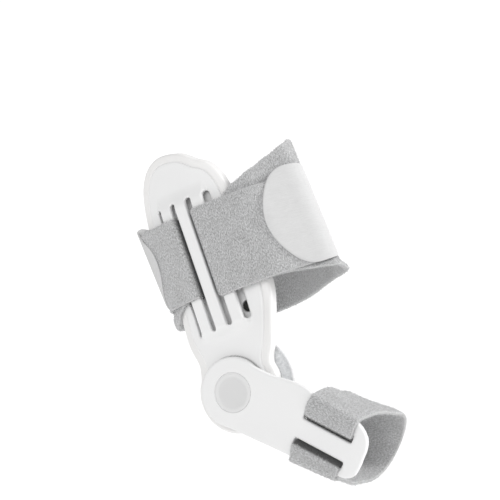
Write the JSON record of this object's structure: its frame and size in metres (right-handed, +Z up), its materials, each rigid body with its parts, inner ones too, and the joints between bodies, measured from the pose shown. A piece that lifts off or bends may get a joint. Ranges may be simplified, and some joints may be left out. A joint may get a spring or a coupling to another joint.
{
  "type": "bunion corrector",
  "caption": "Hinged bunion splint for a left foot: a long plate strapped to the midfoot and a short plate strapped to the big toe, turning on a rivet over a soft pad.",
  "frame": {"origin": "on the hinge axis, at the foot side of the bunion pad, where the pad sits on the inner side of the ball of the big toe", "axes": "+Z up as worn with the heel lifted, +X forwards in the toe plate's heading seen from above, +Y to the outer side of the left foot"},
  "size_m": [0.121, 0.0958, 0.1105],
  "materials": {
    "plate": "white, satin",
    "liner": "soft warm white, satin",
    "pad": "pale grey brushed, soft",
    "cap": "pale grey, satin",
    "stud": "black",
    "strap": "grey brushed loop fabric",
    "tab": "white, smooth hook tape back"
  },
  "bodies": {
    "foot_side": {"main_plate": "plate", "liner": "liner", "liner_stud": "stud", "bunion_pad": "pad", "hinge_rivet": "cap", "midfoot_strap": "strap", "dorsal_tab": "tab", "plantar_tab": "tab"},
    "toe_side": {"toe_plate": "plate", "toe_strap": "strap"}
  },
  "joints": [
    {"name": "toe_hinge", "type": "hinge", "parent": "foot_side", "child": "toe_side", "pos_m": [0, 0, 0], "axis": [0.0731, -0.9265, 0.3691], "range_deg": [-60, 25]}
  ]
}
